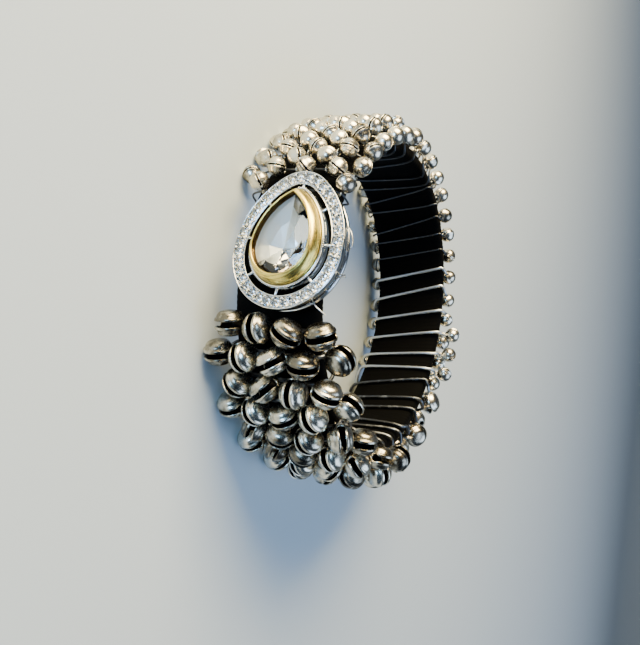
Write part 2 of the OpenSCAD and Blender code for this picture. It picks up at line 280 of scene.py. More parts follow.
def hang_tree():
    """One shape at every point, turned by the attribute turn, each with a tone of its own."""
    tree, given = new_tree("Shapes on points", Shape="Object", Seed="Int", Material="Material")
    shape = add_node(tree, "GeometryNodeObjectInfo", Object=given["Shape"])
    turn = add_node(tree, "GeometryNodeInputNamedAttribute",
                    {"data_type": "FLOAT_VECTOR", "Name": "turn"})
    rotation = add_node(tree, "FunctionNodeEulerToRotation", Euler=turn)
    hung = add_node(tree, "GeometryNodeInstanceOnPoints", Points=given["Geometry"],
                    Instance=shape.outputs["Geometry"], Rotation=rotation)
    tone = add_node(tree, "FunctionNodeRandomValue", {"data_type": "FLOAT"}, Seed=given["Seed"])
    kept = add_node(tree, "GeometryNodeStoreNamedAttribute",
                    {"data_type": "FLOAT", "domain": "INSTANCE", "Name": "tone"},
                    Geometry=hung, Value=tone.outputs[1])
    return close_tree(tree, kept, given["Material"])


def grow(name, points, tree, inputs, edges=(), **attributes):
    """What a tree makes of points with attributes, as a plain mesh object."""
    mesh = new_mesh(name + "_points", points, list(edges), [], attributes)
    seed = new_object(name + "_seed", mesh)
    modifier = seed.modifiers.new("Grow", "NODES")
    modifier.node_group = tree
    sockets = {s.name: s.identifier for s in tree.interface.items_tree
               if s.item_type == "SOCKET" and s.in_out == "INPUT"}
    for label, value in inputs.items():
        modifier[sockets[label]] = value
    bpy.context.view_layer.update()
    graph = bpy.context.evaluated_depsgraph_get()
    result = bpy.data.meshes.new_from_object(
        seed.evaluated_get(graph), preserve_all_data_layers=True, depsgraph=graph)
    if not result.polygons:
        raise RuntimeError(name + " came out empty")
    seed.modifiers.remove(modifier)
    bpy.data.objects.remove(seed)
    return new_object(name, result)


def hang(name, base, spots, tree, seed, material):
    """A copy of the base at every matrix, as one mesh object. The base is used up."""
    turns = [tuple(spot.to_euler("XYZ")) for spot in spots]
    obj = grow(name, [spot.to_translation() for spot in spots], tree,
               {"Shape": base, "Seed": seed, "Material": material}, turn=turns)
    bpy.data.objects.remove(base)
    return obj


# The wire's rule, as in the solids. Angles and turns are in degrees.

LARGE_TURNS, SMALL_TURNS = 16, 21
TURNS = LARGE_TURNS + SMALL_TURNS
# Turns with crowded large bells, small turns before the crowded ones, small turns of thick wire,
# and turns of wire darkened as painted shade
LARGE_CROWDED, SMALL_FAR, THICK_SMALL, SHADED_TURNS = 10, 14, 5, 15
LARGE_FIRST, LARGE_STEP = -64.5, 8.5
SMALL_FIRST, SMALL_STEP, SMALL_FAR_SHIFT = 73.1, 8.93, 2
SMALL_ZIGZAG = 36
TOP_SWING = 5
WIRE_POWER = 4
EDGE_LIFT = 0.95 * MM
CROSS_SLANT, CROSS_WANDER = 7.5, 2
# Stops where the wire starts to swing over to its inner run and back, and the span of each
LOWER_EDGE, UPPER_EDGE, EDGE_SPAN = 90, 240, 30
LARGE_LEAN, LARGE_WANDER, SMALL_WANDER = -0.5, 0.6, 0.5
WANDER = drawn(-1, 1, 60, 11)
LARGE_SPIN = drawn(0, 180, 100, 5)
LARGE_SWAY = drawn(-1.2, 1.2, 100, 8)
SMALL_SPIN = drawn(0, 180, 200, 21)
SMALL_SWAY = drawn(-2, 2, 200, 23)
# Heights above the band's middle in mm, on even and odd turns, of crowded turns and of others.
# None is a bell on the floor, and the highest of five bells swings out a little more.
LARGE_MOST = 5
LARGE_HEIGHTS = {True: ((-6.4, -0.4, 5.6, 11.5), (None, -4, 2.2, 8.3, 13.35)),
                 False: ((-6.6, -0.3, 6.6), (None, -3.4, 3, 9))}
SMALL_HEIGHTS = (None, -7.2, -3.1, 1.3, 5.4, 8.9)
SMALL_CROWDED, SMALL_PITCH = 8, 3.25
# Columns: turn among the small bells' own, height as above, slot direction, swing
SINGLE_BELLS = [(0, 12.1, 70, 12), (1, 12.1, 150, 14), (2, 12.1, 20, 10),
                (20, -6.6, 40, -12), (20, 10.9, 110, -25)]
# Rows: turns from the medallion on. Columns: slot directions from low to high Z.
LARGE_SPIN_SEEN = [
    [92, 10, 55, 100],
    [90, 20, 115, 80, 10],
    [40, 125, 0, 60],
    [90, 30, 95, 25, 10],
    [150, 70, 35, 160],
    [90, 140, 60, 15, 40],
    [100, 25, 110, 5],
    [90, 15, 120, 30, 10]]
# Columns: angle past the middle between two turns, slant from edge to edge, on the inner face
CROSS_FIRST = 11
CROSS_SEEN = [
    (-1.6, 3.0), (2.0, 8.0), (0.9, 7.0), (3.1, 9.0), (2.2, 3.5), (0.1, 5.0),
    (1.1, 7.0), (2.3, 8.0), (4.4, 10.0), (4.5, 9.0), (5.5, 7.5), (4.6, 7.0),
    (2.7, 12.0), (3.2, 6.0), (2.3, 12.0), (-0.7, 3.5), (-3.2, 2.0)]
# Stops of one turn: the upper half of the outside, which the lower half mirrors, and the inside
OUTSIDE_STOPS = [-90, -82, -75, -68, -62, -55, -49, -42, -36, -29, -22, -15, -8, 0]
INSIDE_STOPS = [90, 98, 105, 115, 125, 135, 145, 160, 180, 200, 215, 225, 235, 245, 255, 262]

# Rows: the tie wires, each from the halo's lower rail out past its rim.
# Columns of each point: along the medallion, across it, height, in mm
TIE_WIRES = [
    [(-6.1, 9.1, -2.7), (-5.9, 9.6, -2), (-4.8, 10.7, -1.8), (-3.7, 11.3, -1.8),
     (-2.7, 11.6, -1.8), (-1.9, 11.6, -1.8), (-1.5, 11, -2), (-1.5, 10.2, -2.7)],
    [(3.5, 9.7, -2.7), (3.5, 10.6, -2), (3.4, 11.3, -1.7), (3.5, 12, -1.6)],
    [(2.9, 9.9, -2.7), (3, 10.7, -2.1), (3.1, 11.2, -2), (3, 11.6, -2)],
    [(8.2, 6.2, -2.7), (8.6, 7, -1.9), (9.1, 7.6, -1.4), (9.8, 8.7, -1.6), (10.4, 9.6, -2.2)]]
TIE_RADIUS = 0.12 * MM


def path_edges(first, count):
    """Edges of a line of points."""
    return [(i, i + 1) for i in range(first, first + count - 1)]


def eased(stops, steps=4):
    """More points along a line, on a smooth curve through its stops."""
    ends = [Vector(p) for p in (stops[0], *stops, stops[-1])]
    line = []
    for a, b, c, d in zip(ends, ends[1:], ends[2:], ends[3:]):
        for t in (i / steps for i in range(steps)):
            line.append(0.5 * (2 * b + (c - a) * t + (2 * a - 5 * b + 4 * c - d) * t * t
                               + (3 * b - a - 3 * c + d) * t ** 3))
    return line + [Vector(stops[-1])]


def turn_angle(k):
    """Place of a turn of wire round the ring."""
    small = k - LARGE_TURNS
    if small < 0:
        return LARGE_FIRST + k * LARGE_STEP
    return SMALL_FIRST + small * SMALL_STEP + (SMALL_FAR_SHIFT if small >= SMALL_FAR else 0)


def turn_skew(k):
    """Lean of a turn's outer run at the band's edges."""
    return LARGE_WANDER * WANDER[k] + LARGE_LEAN if k < LARGE_TURNS else SMALL_WANDER * WANDER[k]


class WirePath:
    """The wire's path. A turn runs down the outside of the band's section and back up inside. The
    stop t of a point is an angle round the section, 0 at the outside's middle."""

    def __init__(self, band, wire):
        self.mid = band.inner_radius + band.thickness / 2
        self.level = band.mid_height
        self.out = band.thickness / 2 + wire.lift
        self.inner_face = band.thickness / 2 + wire.gap
        self.thick, self.thin = wire.thick, wire.thin
        self.side = band.half_width + EDGE_LIFT

    def radius(self, k):
        """The wire's own radius on a turn."""
        return self.thick if k < LARGE_TURNS + THICK_SMALL else self.thin

    def reach(self, k, t):
        """Distance outwards from the section's middle."""
        far = self.out if cos(t) > 0 else self.inner_face + self.radius(k)
        return far * signed_root(cos(t), 2 / WIRE_POWER)

    def height(self, t):
        """Height above the section's middle."""
        return -self.side * signed_root(sin(t), 2 / WIRE_POWER)

    def cross_angle(self, k, h):
        """Angle round the ring on the inner face, where the wire crosses to the next turn."""
        shift, slant = 0, CROSS_SLANT + CROSS_WANDER * WANDER[k]
        if CROSS_FIRST <= k < CROSS_FIRST + len(CROSS_SEEN):
            shift, slant = CROSS_SEEN[k - CROSS_FIRST]
        follow = turn_angle(k + 1) if k + 1 < TURNS else turn_angle(k) + SMALL_STEP
        return (turn_angle(k) + follow) / 2 + shift - slant / 2 * h

    def angle(self, k, t):
        """Angle round the ring of a stop."""
        h = signed_root(sin(t), 2 / WIRE_POWER)
        stop = degrees(t)
        outside = turn_angle(k) + turn_skew(k) * h
        if stop <= LOWER_EDGE + 0.01:
            return outside
        inside = self.cross_angle(k, h)
        if stop < LOWER_EDGE + EDGE_SPAN:
            share = (stop - LOWER_EDGE) / EDGE_SPAN
            return outside + (inside - outside) * share
        if stop > UPPER_EDGE and k + 1 < TURNS:
            share = (stop - UPPER_EDGE) / EDGE_SPAN
            return inside + (turn_angle(k + 1) + turn_skew(k + 1) * h - inside) * share
        return inside

    def point(self, k, t):
        """A point of the wire's middle line."""
        return polar(self.mid + self.reach(k, t), radians(self.angle(k, t)),
                     self.level + self.height(t))

    def stop_for_lean(self, lean):
        """The stop where the wire's outside faces up by an angle."""
        power = WIRE_POWER / (2 * WIRE_POWER - 2)
        across = atan((self.side / self.out * tan(abs(lean))) ** power)
        return -copysign(across, lean)

    def lean_for(self, z, reach):
        """The lean at which what stands out by reach comes to height z."""
        low, high = 0.0, radians(89)
        for _ in range(24):
            mid = (low + high) / 2
            if self.height(self.stop_for_lean(mid)) + reach * sin(mid) > abs(z):
                high = mid
            else:
                low = mid
        return copysign((low + high) / 2, z)


# Bells

SLOT_BEVEL, GROOVE_BEVEL, EYE_PLAY = 0.08 * MM, 0.06 * MM, 0.05 * MM
# The notch's radius by the slot's width, and the heights of the lips' rings between its edges
NOTCH_SHARE = 0.68
LIP_SHARES = (0.12, 0.8, 1.0)
DOME_POWER = 0.9
INNER_ROWS = 4


class BellShape:
    """Sizes of one kind of bell, in metres: a ball of diameter d, flattened to a width by two
    larger balls of radius dome. Its lips stand out from the domes by a step. Its eye is a ring
    between the radii hole and eye."""

    def __init__(self, d, across, dome, slot, wall, hole, eye, lip, step):
        self.d, self.across, self.dome, self.slot, self.wall = d, across, dome, slot, wall
        self.hole, self.eye, self.lip, self.step = hole, eye, lip, step
        self.shank = d / 2 + hole + EYE_PLAY
        self.notch = slot * NOTCH_SHARE

    def lip_reach(self):
        """Distance of the lips' edge from the bell's middle."""
        return sqrt((self.d / 2) ** 2 - (self.slot / 2) ** 2)

    def reach(self, z):
        """Radius of the body at height z above the slot's plane."""
        off = self.dome - self.across / 2
        ball, dome = (self.d / 2) ** 2 - z * z, self.dome ** 2 - (z + off) ** 2
        return sqrt(max(min(ball, dome), 0))


def bell_base(name, bell, around, rows):
    """One hollow bell at the origin, slot towards +X. Two flat lips stand out round it, parted by
    the slot, a round notch at each of its ends, and a fine groove behind. Around counts the steps
    beside each of these."""
    half_d, top = bell.d / 2, bell.across / 2
    slot_end = sqrt(bell.notch ** 2 - (bell.slot / 2) ** 2)
    ends = (0, acos(slot_end / half_d), acos(-bell.notch / half_d), pi)
    steps = [a + (b - a) * i / n for a, b, n in zip(ends, ends[1:], around) for i in range(n)]
    turns = steps + [pi] + [2 * pi - a for a in reversed(steps[1:])]
    n = len(turns)
    lip_top = bell.notch + bell.lip

    def edge_height(x):
        """Half of the opening between the lips, which is closed along the groove."""
        if x < -bell.notch + 1e-9:
            return 0.0
        if abs(x) < bell.notch:
            return max(sqrt(bell.notch ** 2 - x * x), bell.slot / 2 if x > 0 else 0)
        return bell.slot / 2

    def outer_ring(row, edge):
        """Radius and height of one ring of the outside, from the slot's edge to the pole."""
        if row == 0:
            return bell.reach(edge) - (SLOT_BEVEL if edge > 0 else GROOVE_BEVEL), edge
        lips = len(LIP_SHARES)
        if row <= lips:
            z = edge + (lip_top - edge) * LIP_SHARES[row - 1]
            return bell.reach(z), z
        foot = bell.reach(lip_top) - bell.step
        tilt = pi / 2 * (row - lips - 1) / (rows - lips - 1)
        rise = lip_top + 0.3 * bell.step
        z = rise + (top - rise) * sin(tilt) ** DOME_POWER
        slope = max(cos(tilt), 0)
        return min(foot * slope ** DOME_POWER, max(bell.reach(z) - bell.step * slope, 0)), z

    def inner_ring(row, edge):
        """Radius and height of one ring of the hollow."""
        scale = (half_d - bell.wall) / half_d
        low = asin(min(1, edge / top))
        tilt = low + (pi / 2 - low) * row / INNER_ROWS
        z = max(scale * top * sin(tilt), edge if row == 0 else 0)
        return max(bell.reach(z / scale) * scale, 0) if row < INNER_ROWS else 0.0, z

    edges = [edge_height(half_d * cos(a)) for a in turns]
    points, faces, inside = [], [], []
    for sign in (1, -1):
        starts = []
        # The hollow's points are marked 1 in inside, which the material darkens as painted shade.
        for ring, count, mark in ((outer_ring, rows, 0.0), (inner_ring, INNER_ROWS, 1.0)):
            starts.append(len(points))
            for row in range(count + 1):
                for a, edge in zip(turns, edges):
                    r, z = ring(row, edge)
                    points.append(polar(r, a, sign * z))
            inside += [mark] * n * (count + 1)
            for a in range(starts[-1], starts[-1] + count * n, n):
                faces += [(a + k, a + (k + 1) % n, a + n + (k + 1) % n, a + n + k)
                          for k in range(n)]
        for k in range(n):
            m = (k + 1) % n
            if max(edges[k], edges[m]) > 0:
                faces.append((starts[0] + k, starts[1] + k, starts[1] + m, starts[0] + m))
    return make_piece(name, points, faces, inside=inside)


def eye_base(name, bell):
    """The bell's wire eye: a small ring round the Z axis."""
    major, minor = (bell.hole + bell.eye) / 2, (bell.eye - bell.hole) / 2
    rings = [[polar(major + minor * cos(b), a, minor * sin(b)) for b in circle(6)]
             for a in circle(14)]
    return make_piece(name, *loft(rings, closed=True))


def bell_spots(path, bell, places):
    """Matrices of each bell's eye and body, for places (turn, height, spin, swing)."""
    spots = []
    for k, z, spin, swing in places:
        lean = path.lean_for(z, bell.shank * cos(radians(swing)))
        stop = path.stop_for_lean(lean)
        around = turn_angle(k) - turn_skew(k) * path.height(stop) / path.side
        out = (path.mid + path.reach(k, stop), 0, path.level + path.height(stop))
        eye = (turned(around, "Z") @ Matrix.Translation(out)
               @ Matrix.Rotation(-lean, 4, "Y") @ turned(swing, "Z"))
        spots.append((eye, eye @ Matrix.Translation((bell.shank, 0, 0)) @ turned(spin, "X")))
    return spots


def large_places(bell, level):
    """Places of the large bells. Those on the floor hang straight."""
    rest = (bell.lip_reach() - level) / MM
    places = []
    for k in range(LARGE_TURNS):
        row = LARGE_MOST * k
        for c, z in enumerate(LARGE_HEIGHTS[k < LARGE_CROWDED][k % 2]):
            spin = LARGE_SPIN_SEEN[k][c] if k < len(LARGE_SPIN_SEEN) else LARGE_SPIN[row + c]
            swing = (TOP_SWING if c == LARGE_MOST - 1 else 0) + LARGE_SWAY[row + c]
            places.append((k, rest * MM, 90, 0) if z is None else (k, z * MM, spin, swing))
    return places


def small_places(bell, level):
    """Places of the small bells, in a zigzag."""
    rest = (bell.d / 2 - level) / MM
    crowded = [rest + SMALL_PITCH * c for c in range(SMALL_CROWDED)]
    sparse = [rest if z is None else z for z in SMALL_HEIGHTS]
    places = [(LARGE_TURNS + k, z * MM, SMALL_SPIN[SMALL_CROWDED * k + c],
               (-SMALL_ZIGZAG if c % 2 else SMALL_ZIGZAG) + SMALL_SWAY[SMALL_CROWDED * k + c])
              for k in range(SMALL_TURNS - 1)
              for c, z in enumerate(sparse if k < SMALL_FAR else crowded)]
    return places + [(LARGE_TURNS + k, z * MM, spin, swing) for k, z, spin, swing in SINGLE_BELLS]


# Drop outlines of the medallion, in its own plane: radii of the round end, the sides and the tip

HALO = (11.1 * MM, 16.4 * MM, 6.9 * MM)
PEAR = (5.8 * MM, 11.6 * MM, 0.5 * MM)
# Steps round the narrow end, along a side and round the wide end
FINE, FINEST = (14, 34, 50), (40, 80, 120)
SHARP = 1e-6


def drop_outline(shape, w, counts=FINE):
    """Points and outward directions of a drop at offset w, from its narrow end on -X round by +Y.
    The same station of two offsets lies on the same arc."""
    round_end, side, tip = shape
    if w > -tip:
        reach = sqrt((side - tip) ** 2 - (side - round_end) ** 2)
        span = asin(reach / (side - tip))
        small = max(tip + w, SHARP)
    else:
        span = acos((side - round_end) / (side + w))
        small = SHARP
    end = (side + w) * sin(span) - small * sin(span)
    # Arcs of one half. Columns: the middle's x and y, radius, first angle, angle run, steps
    half = [(x + r * cos(a), y + r * sin(a), a)
            for x, y, r, first, run, steps in (
                (-end, 0, small, pi, pi / 2 - span, counts[0] // 2),
                (0, round_end - side, side + w, pi / 2 + span, span, counts[1]),
                (0, 0, round_end + w, pi / 2, pi / 2, counts[2] // 2))
            for a in (first - run * i / steps for i in range(steps))]
    mirrored = [(x, -y, -a) for x, y, a in reversed(half[1:])]
    return half + [(round_end + w, 0.0, 0.0)] + mirrored


def even_stops(shape, w, count, shift=0.5):
    """Evenly spaced places along a drop, as (x, y, outward direction)."""
    line = [(x, y) for x, y, _ in drop_outline(shape, w, FINEST)]
    line.append(line[0])
    runs = [0.0]
    for p, q in zip(line, line[1:]):
        runs.append(runs[-1] + hypot(q[0] - p[0], q[1] - p[1]))
    near = 0.05 * MM

    def at(run):
        return [float(np.interp(run % runs[-1], runs, axis)) for axis in zip(*line)]

    stops = []
    for k in range(count):
        run = runs[-1] * (k + shift) / count
        (x0, y0), (x1, y1) = at(run - near), at(run + near)
        stops.append((*at(run), atan2(x1 - x0, y0 - y1)))
    return stops


def medallion_matrix(settings, turn):
    """The medallion's own place: X along its length, Z outwards from the band."""
    level = bpy.context.scene.bangle_band.mid_height
    spot = Matrix.Translation((settings.along, -settings.face, level + settings.above))
    return spot @ turned(90, "X") @ turned(turn, "Z")


def drop_loft(name, shape, profile, matrix, material, hollow=()):
    """A closed profile of (offset, height) in mm swept round a drop. The attribute inside is 1 on
    the rows in hollow, which the material darkens as painted shade, and track is (x, y, height)
    in mm on a drop shrunk to a small circle."""
    rings, marks, track = [], [], []
    for row, (w, h) in enumerate(profile):
        outline = drop_outline(shape, w * MM)
        rings.append([matrix @ Vector((x, y, h * MM)) for x, y, _ in outline])
        marks += [float(row in hollow)] * len(outline)
        track += [(cos(a), w + sin(a), h) for _, _, a in outline]
    return make_piece(name, *loft(rings, closed=True), material, inside=marks, track=track)


# Materials

def new_material(name, settings):
    """A material with one Principled shader, its tree, and the shader's sockets."""
    material = bpy.data.materials.new(name)
    material.use_nodes = True
    sockets = material.node_tree.nodes["Principled BSDF"].inputs
    for key, value in settings.items():
        sockets[key].default_value = value
    return material, material.node_tree, sockets


def roughen(tree, sockets, place, scale, detail, strength, depth):
    """Gives a material relief from noise. Returns the noise."""
    noise = add_node(tree, "ShaderNodeTexNoise", {"Scale": scale, "Detail": detail}, Vector=place)
    add_node(tree, "ShaderNodeBump", {"Strength": strength, "Distance": depth}, sockets["Normal"],
             Height=noise)
    return noise


def paint_shade_inside(tree, sockets, colour, shade_colour):
    """Gives a material its colour, and a dark painted shade where it lines a hollow."""
    inside = add_node(tree, "ShaderNodeAttribute", {"attribute_name": "inside"}).outputs["Fac"]
    shaded = add_node(tree, "ShaderNodeMix", {"data_type": "RGBA", 7: rgb(shade_colour)}, Factor=inside,
                      i6=colour)
    tree.links.new(shaded.outputs[2], sockets["Base Color"])


def thread_material(settings):
    """Black cotton thread, wound by hand: matt, so its wraps show as faint ribs."""
    material, tree, sockets = new_material("black_cotton_thread", {
        "Roughness": 0.8, "Sheen Weight": 0.01, "Sheen Roughness": 0.4, "Specular IOR Level": 0.05})
    place = add_node(tree, "ShaderNodeTexCoord").outputs["Object"]
    # Fibre clumps of about 0.4 mm change the black a little.
    clumps = add_node(tree, "ShaderNodeTexNoise", {"Scale": 2500.0, "Detail": 3.0}, Vector=place)
    ramp = add_node(tree, "ShaderNodeValToRGB", None, sockets["Base Color"], Fac=clumps)
    for stop, at, code in zip(ramp.color_ramp.elements, (0.3, 1.0), ("010101", settings.colour)):
        stop.position, stop.color = at, rgb(code)
    # Twisted strands of about 0.15 mm stand out as relief.
    roughen(tree, sockets, place, 6500.0, 2.0, 0.4, 0.05 * MM)
    return material


def silver_material(name, colour, tarnish, rough, scale, patch_low, dent=0.12, tone_shift=0.25):
    """Polished plating or drawn wire: bright, with rubbing marks and dull patches. The attribute
    tone, from 0 to 1, spreads the patches; on the wire's first thick turns it darkens them as
    painted shade. Hollows get a painted shade as well."""
    material, tree, sockets = new_material(name, {"Metallic": 1.0})
    place = add_node(tree, "ShaderNodeTexCoord").outputs["Object"]
    tone = add_node(tree, "ShaderNodeAttribute", {"attribute_name": "tone"}).outputs["Fac"]
    # Dull patches of about two millimetres.
    patches = add_node(tree, "ShaderNodeTexNoise",
                       {"Scale": scale, "Detail": 4.0, "Roughness": 0.6}, Vector=place)
    spread = add_node(tree, "ShaderNodeMath",
                      {"operation": "MULTIPLY_ADD", 1: tone_shift, 2: -0.08}, i0=tone)
    level = add_node(tree, "ShaderNodeMath", {"operation": "ADD"}, i0=patches, i1=spread)
    # The darkening follows the patches and the tone; on the wire's first thick turns it is painted
    # shade.
    dulling_and_shade = add_node(tree, "ShaderNodeMapRange",
                    {"From Min": patch_low, "From Max": patch_low + 0.28}, Value=level)
    tint = add_node(tree, "ShaderNodeMix",
                    {"data_type": "RGBA", 6: rgb(colour), 7: rgb(tarnish)}, Factor=dulling_and_shade)
    # Painted shade: near black where the attribute inside marks a bell's hollow.
    paint_shade_inside(tree, sockets, tint.outputs[2], "1B1712")
    # Rubbing marks of 0.2 mm in the shine.
    marks = add_node(tree, "ShaderNodeTexNoise", {"Scale": 5200.0, "Detail": 3.0}, Vector=place)
    add_node(tree, "ShaderNodeMapRange", {"To Min": rough, "To Max": rough + 0.12},
             sockets["Roughness"], Value=marks)
    add_node(tree, "ShaderNodeBump", {"Strength": dent, "Distance": 0.04 * MM},
             sockets["Normal"], Height=patches)
    return material


def gold_material(settings):
    """Gold, filed and burnished by hand: satin, with streaks of 0.2 mm that follow the ring."""
    material, tree, sockets = new_material("burnished_gold", {"Metallic": 1.0})
    track = add_node(tree, "ShaderNodeAttribute", {"attribute_name": "track"}).outputs["Vector"]
    worn = add_node(tree, "ShaderNodeTexNoise", {"Scale": 2.4, "Detail": 4.0}, Vector=track)
    ramp = add_node(tree, "ShaderNodeValToRGB", Fac=worn)
    for stop, at, code in zip(ramp.color_ramp.elements, (0.33, 0.52), ("9A7F3A", settings.gold)):
        stop.position, stop.color = at, rgb(code)
    # Painted shade: dark brown on the inner wall under the lip, where the attribute inside is 1.
    paint_shade_inside(tree, sockets, ramp, "6E5632")
    marks = roughen(tree, sockets, track, 7.0, 2.0, 0.3, 0.04 * MM)
    add_node(tree, "ShaderNodeMapRange", {"To Min": 0.2, "To Max": 0.36}, sockets["Roughness"],
             Value=marks)
    return material


def stone_material(name, colour, ior):
    """Clear cut stone: polished facets, so it has no roughness."""
    return new_material(name, {"Base Color": rgb(colour), "Roughness": 0.0, "IOR": ior,
                               "Transmission Weight": 1.0})[0]


def grained_material(name, strength, depth, settings):
    """A plain surface with a relief of about a millimetre."""
    material, tree, sockets = new_material(name, settings)
    place = add_node(tree, "ShaderNodeTexCoord").outputs["Object"]
    roughen(tree, sockets, place, 900.0, 2.0, strength, depth)
    return material


def foil_material():
    """Silver foil behind a stone: a soft mirror, a little crumpled."""
    return grained_material("silver_foil", 0.35, 0.12 * MM, {
        "Base Color": rgb("F4F8F6"), "Metallic": 1.0, "Roughness": 0.5})


def board_material(settings):
    """Pale matt board, whose grain hardly shows."""
    return grained_material("pale_matt_board", 0.05, 0.1 * MM, {
        "Roughness": 0.9, "Base Color": rgb(settings.floor)})


# Operators

class BANGLE_OT_band(Operator):
    """Winds the band in black thread"""
    bl_idname = "bangle.band"
    bl_label = "Wound band"

    def execute(self, context):
        s = context.scene.bangle_band
        mid = s.inner_radius + s.thickness / 2
        steps_per_wrap, section = 6, circle(56, 0.5)
        # A wrap leans by three degrees from one edge of the band to the other.
        lean = radians(3)
        uneven = drawn(-1, 1, s.wraps, 41)
        rings = []
        for a in circle(s.wraps * steps_per_wrap):
            ring = []
            for t in section:
                x, y = (signed_root(v, 2 / s.squareness) for v in (cos(t), sin(t)))
                turn = (a + lean * (y if cos(t) > 0 else -y)) / (2 * pi) * s.wraps
                k, phase = int(turn // 1) % s.wraps, turn % 1.0
                crown = sin(pi * phase) ** 0.7 * (0.8 + 0.2 * uneven[k]) - 1
                r = mid + s.thickness / 2 * x + s.wrap_relief * crown * cos(t)
                z = s.half_width * y + s.wrap_relief * crown * sin(t)
                ring.append(polar(r, a, s.mid_height + z))
            rings.append(ring)
        obj = make_piece("wound_band", *loft(rings, closed=True), thread_material(s))
        return finish_piece(obj, "black_cloth", "band")


class BANGLE_OT_wire(Operator):
    """Lashes the silver wire round the band"""
    bl_idname = "bangle.wire"
    bl_label = "Lashing wire"

    def execute(self, context):
        scene = context.scene
        s = scene.bangle_wire
        path = WirePath(scene.bangle_band, s)
        stops = OUTSIDE_STOPS + [-t for t in reversed(OUTSIDE_STOPS[1:-1])] + INSIDE_STOPS
        places = [(k, t) for k in range(TURNS) for t in stops
                  if k < TURNS - 1 or t <= UPPER_EDGE]
        points = [path.point(k, radians(t)) for k, t in places]
        radii = [path.radius(k) for k, _ in places]
        # All thin turns are dull, and the first thick ones are darkened as painted shade.
        tones = [1.0 if radius < s.thick else 0.85 if k < SHADED_TURNS else 0.0
                 for radius, (k, _) in zip(radii, places)]
        metal = silver_material("drawn_silver_wire", s.colour, "53565B", 0.3, 500.0, 0.62,
                                tone_shift=0.6)
        obj = grow("silver_lashing_wire", points, tube_tree(),
                   {"Sides": s.sides, "Material": metal}, path_edges(0, len(points)),
                   wire_radius=radii, tone=tones)
        return finish_piece(obj, "silver_wire", "lashing_wire")


class BANGLE_OT_ties(Operator):
    """Ties the medallion down with thin wire"""
    bl_idname = "bangle.ties"
    bl_label = "Tie wires"

    def execute(self, context):
        scene = context.scene
        place = medallion_matrix(scene.bangle_medallion, scene.bangle_medallion.halo_turn)
        points, edges = [], []
        for row in TIE_WIRES:
            line = eased(row)
            edges += path_edges(len(points), len(line))
            points += [place @ (p * MM) for p in line]
        metal = silver_material("tarnished_tie_wire", scene.bangle_wire.colour, "4A4845", 0.3,
                                500.0, 0.3)
        obj = grow("medallion_tie_wires", points, tube_tree(), {"Sides": 8, "Material": metal},
                   edges, wire_radius=[TIE_RADIUS] * len(points))
        return finish_piece(obj, "silver_wire")


class BANGLE_OT_bells(Operator):
    """Hangs the large and the small slit bells on the wire"""
    bl_idname = "bangle.bells"
    bl_label = "Slit bells"

    def execute(self, context):
        scene = context.scene
        s = scene.bangle_bells
        path = WirePath(scene.bangle_band, scene.bangle_wire)
        # Last columns in mm: wall, the eye's hole and outer radius, lip, step
        large = BellShape(s.large, s.large_across, 6 * MM, s.large_slot,
                          *(v * MM for v in (0.35, 0.5, 0.84, 0.3, 0.15)))
        small = BellShape(s.small, s.small, s.small / 2, s.small_slot,
                          *(v * MM for v in (0.25, 0.47, 0.78, 0.12, 0.03)))
        # Columns: name, shape, places, steps round, rows, slot, node, seed, patches, tone's share
        kinds = (
            ("large_slit_bells", large, large_places(large, path.level), (7, 5, 6), 10,
             "silver_large_bells", "large_bells", 3, 0.54, 0.4),
            ("small_slit_bells", small, small_places(small, path.level), (5, 3, 4), 8,
             "silver_small_bells", "small_bells", 4, 0.58, 0.3))
        tree = hang_tree()
        for name, bell, places, around, rows, slot, node, seed, patch_low, tone_shift in kinds:
            metal = silver_material("plated_brass_" + name[:5], s.colour, s.tarnish, 0.2, 420.0,
                                    patch_low, 0.3, tone_shift)
            bases = eye_base(name + "_eye", bell), bell_base(name + "_one", bell, around, rows)
            parts = [hang(base.name + "s", base, spots, tree, seed, metal)
                     for base, spots in zip(bases, zip(*bell_spots(path, bell, places)))]
            finish_piece(join_pieces(parts, name), slot, node)
        return {"FINISHED"}


